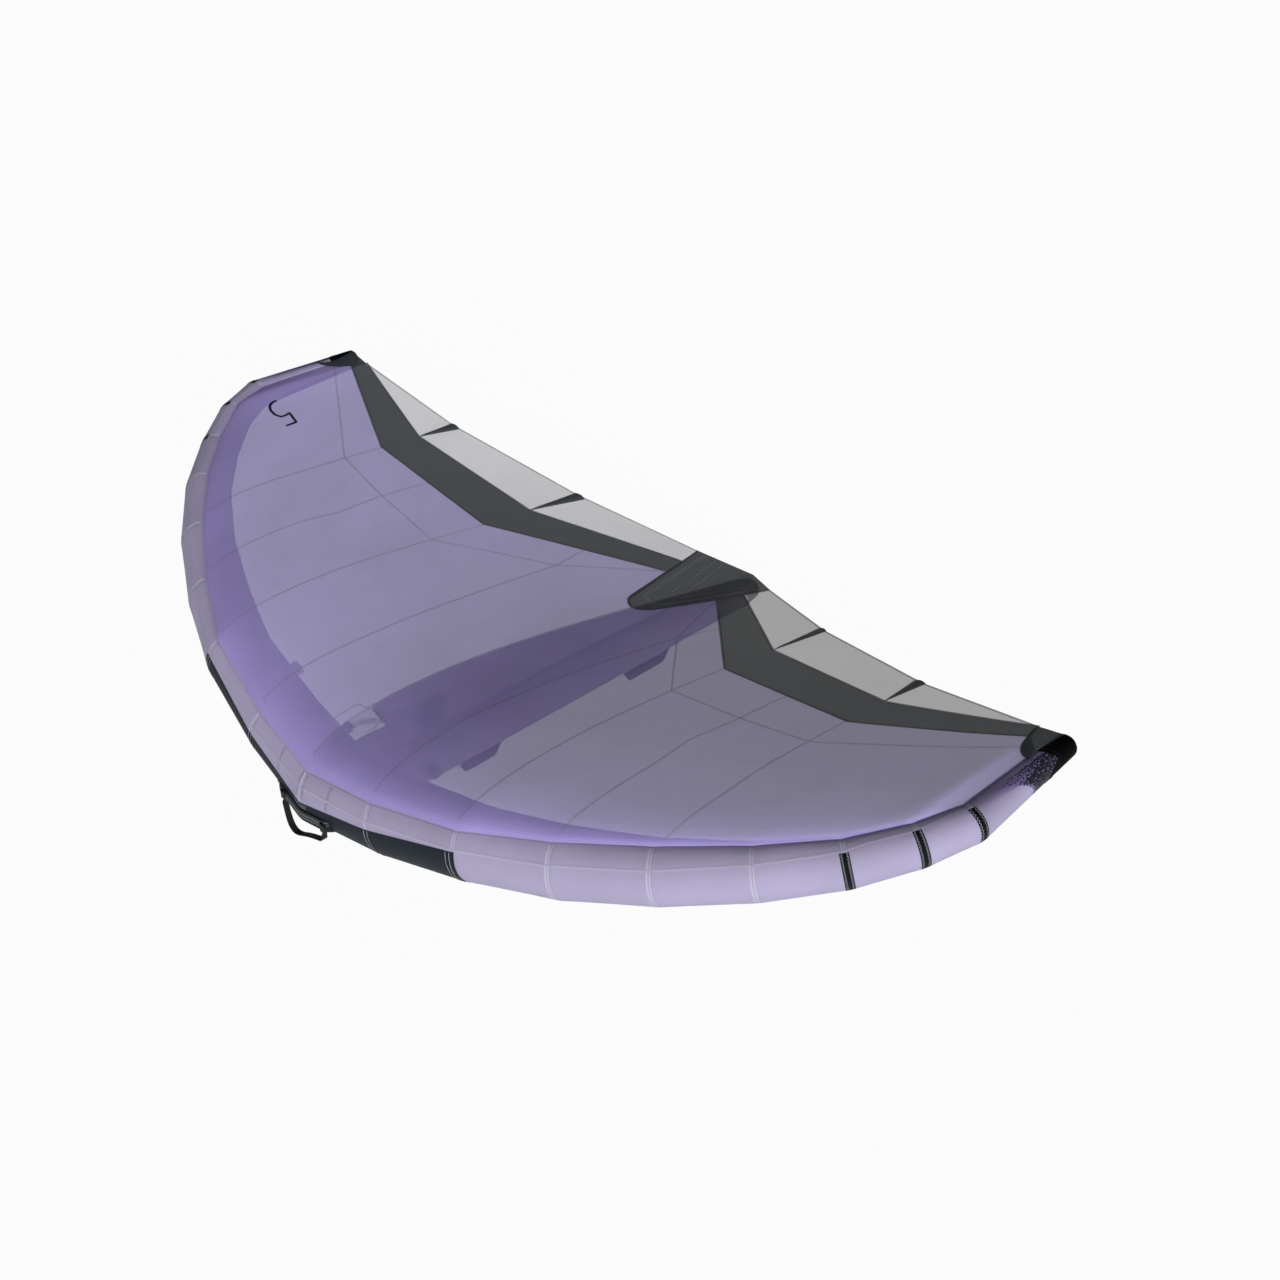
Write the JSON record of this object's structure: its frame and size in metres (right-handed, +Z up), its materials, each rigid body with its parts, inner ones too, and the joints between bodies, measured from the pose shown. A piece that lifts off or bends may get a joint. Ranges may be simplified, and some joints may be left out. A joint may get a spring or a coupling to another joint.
{
  "type": "inflatable hand-held foil wing",
  "caption": "Hand-held inflatable wing: swept, tapering air-filled leading edge and centre strut carrying a thin arched canopy, with padded grips under the strut.",
  "frame": {"origin": "bottom centre of the whole wing's box, at the height of the rear grip's underside", "axes": "+X across the span, to the right as seen from in front of the leading edge; -Y towards the leading edge; +Z up to the canopy"},
  "size_m": [3.515, 2.0336, 0.7099],
  "materials": {
    "lavender_cloth": "translucent grey-violet ripstop cloth with a fine woven grid",
    "lavender_tube": "dense pale violet polyester cloth, matt",
    "dark_cloth": "dark grey ripstop cloth, matt",
    "pale_cloth": "light grey canopy cloth, slightly translucent",
    "black_cloth": "black coated reinforcement cloth",
    "film": "clear milky polyurethane film",
    "webbing": "black woven webbing",
    "foam": "black soft foam padding",
    "plastic": "black moulded plastic",
    "steel": "stainless steel",
    "batten": "smooth glass fibre strip"
  },
  "bodies": {
    "wing": {"leading_edge_casing": "lavender_tube", "leading_edge_bladder": "film", "nose_scuff_patch": "black_cloth", "tip_cap_left": "black_cloth", "tip_cap_right": "black_cloth", "canopy_left": "lavender_cloth", "canopy_right": "lavender_cloth", "chevron_band_left": "dark_cloth", "chevron_band_right": "dark_cloth", "trailing_edge_band_left": "pale_cloth", "trailing_edge_band_right": "pale_cloth", "tip_patch_left": "dark_cloth", "tip_patch_right": "dark_cloth", "batten_pocket_inner_left": "dark_cloth", "batten_pocket_inner_right": "dark_cloth", "batten_pocket_outer_left": "dark_cloth", "batten_pocket_outer_right": "dark_cloth", "batten_inner_left": "batten", "batten_inner_right": "batten", "batten_outer_left": "batten", "batten_outer_right": "batten", "trailing_edge_patch": "dark_cloth", "strut_casing": "lavender_tube", "strut_bladder": "film", "strut_end_cap": "black_cloth", "fin_panel": "lavender_cloth", "nose_handle_pad": "foam", "nose_handle_tab_left": "webbing", "nose_handle_tab_right": "webbing", "front_handle_strap": "webbing", "front_handle_grip": "foam", "front_handle_patch_fore": "black_cloth", "front_handle_patch_aft": "black_cloth", "rear_handle_strap": "webbing", "rear_handle_grip": "foam", "rear_handle_patch_fore": "black_cloth", "rear_handle_patch_aft": "black_cloth", "inflate_valve_body": "plastic", "inflate_valve_collar": "plastic", "inflate_cap_pin": "steel", "inflate_valve_guide": "plastic", "inflate_valve_spring": "steel", "deflate_valve_body": "plastic", "deflate_valve_collar": "plastic", "deflate_cap_pin": "steel", "leading_edge_port": "plastic", "strut_port": "plastic", "transfer_hose": "film", "hose_clamp_body": "plastic", "leading_edge_zip": "black_cloth", "strut_zip": "black_cloth"},
    "nose_loop": {"nose_handle_loop": "webbing"},
    "inflate_cap": {"inflate_valve_cap": "plastic"},
    "deflate_cap": {"deflate_valve_cap": "plastic"},
    "plunger": {"inflate_valve_plunger": "plastic"},
    "clamp_lever": {"hose_clamp_lever": "plastic"},
    "leading_edge_slider": {"leading_edge_zip_slider": "steel"},
    "strut_slider": {"strut_zip_slider": "steel"}
  },
  "joints": [
    {"name": "nose_loop_swing", "type": "hinge", "parent": "wing", "child": "nose_loop", "pos_m": [0, -1.00682, 0.19354], "axis": [1, 0, 0], "range_deg": [-90, 30]},
    {"name": "inflate_cap_hinge", "type": "hinge", "parent": "wing", "child": "inflate_cap", "pos_m": [0.10137, -0.57272, 0.19548], "axis": [0, -1, 0], "range_deg": [0, 150]},
    {"name": "plunger_push", "type": "slide", "parent": "wing", "child": "plunger", "axis": [1, 0, 0], "range_m": [-0.005, 0], "stiffness_N_per_m": 200, "springref_m": 0.004, "deforming": ["inflate_valve_spring"]},
    {"name": "deflate_cap_hinge", "type": "hinge", "parent": "wing", "child": "deflate_cap", "pos_m": [-0.43879, -0.70627, 0.38356], "axis": [0.9889, -0.1484, 0], "range_deg": [0, 150]},
    {"name": "clamp_lever_hinge", "type": "hinge", "parent": "wing", "child": "clamp_lever", "pos_m": [-0.18725, -0.69885, 0.27437], "axis": [-0.0366, -0.9975, 0.061], "range_deg": [0, 90]},
    {"name": "leading_edge_zip_slide", "type": "slide", "parent": "wing", "child": "leading_edge_slider", "axis": [0.9813, 0.0513, 0.1855], "range_m": [0, 0.14]},
    {"name": "strut_zip_slide", "type": "slide", "parent": "wing", "child": "strut_slider", "axis": [-0.0024, 1, -0.0057], "range_m": [0, 0.32]}
  ]
}
